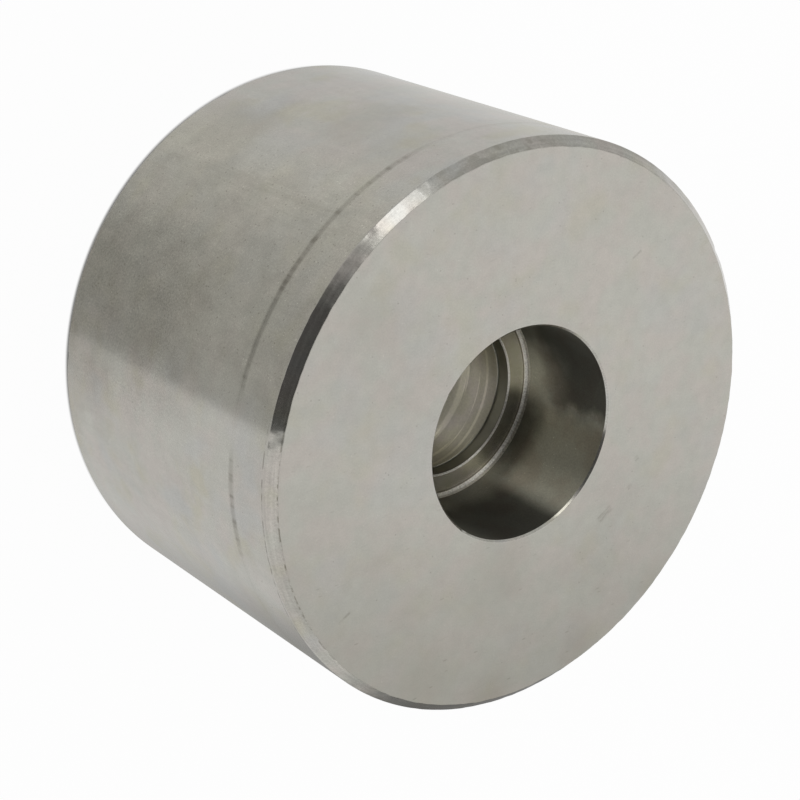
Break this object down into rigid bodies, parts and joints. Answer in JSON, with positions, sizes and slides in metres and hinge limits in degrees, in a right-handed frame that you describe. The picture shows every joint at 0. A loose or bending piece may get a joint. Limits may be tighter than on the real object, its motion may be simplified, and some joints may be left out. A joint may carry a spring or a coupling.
{
  "type": "socket weld insert reducer",
  "caption": "Thick turned steel cylinder whose outside enters a larger socket weld fitting, with a socket for a smaller pipe in one end, a flat pipe stop and a bore right through.",
  "frame": {"origin": "centre of the insert end's flat face, which the part stands on", "axes": "+Z along the turning axis, from the insert end towards the mouth of the socket"},
  "size_m": [0.073, 0.073, 0.048],
  "materials": {
    "stainless_steel": "machined, dull, with oil and handling stains"
  },
  "bodies": {
    "root": {"reducer_body": "stainless_steel"}
  },
  "joints": []
}
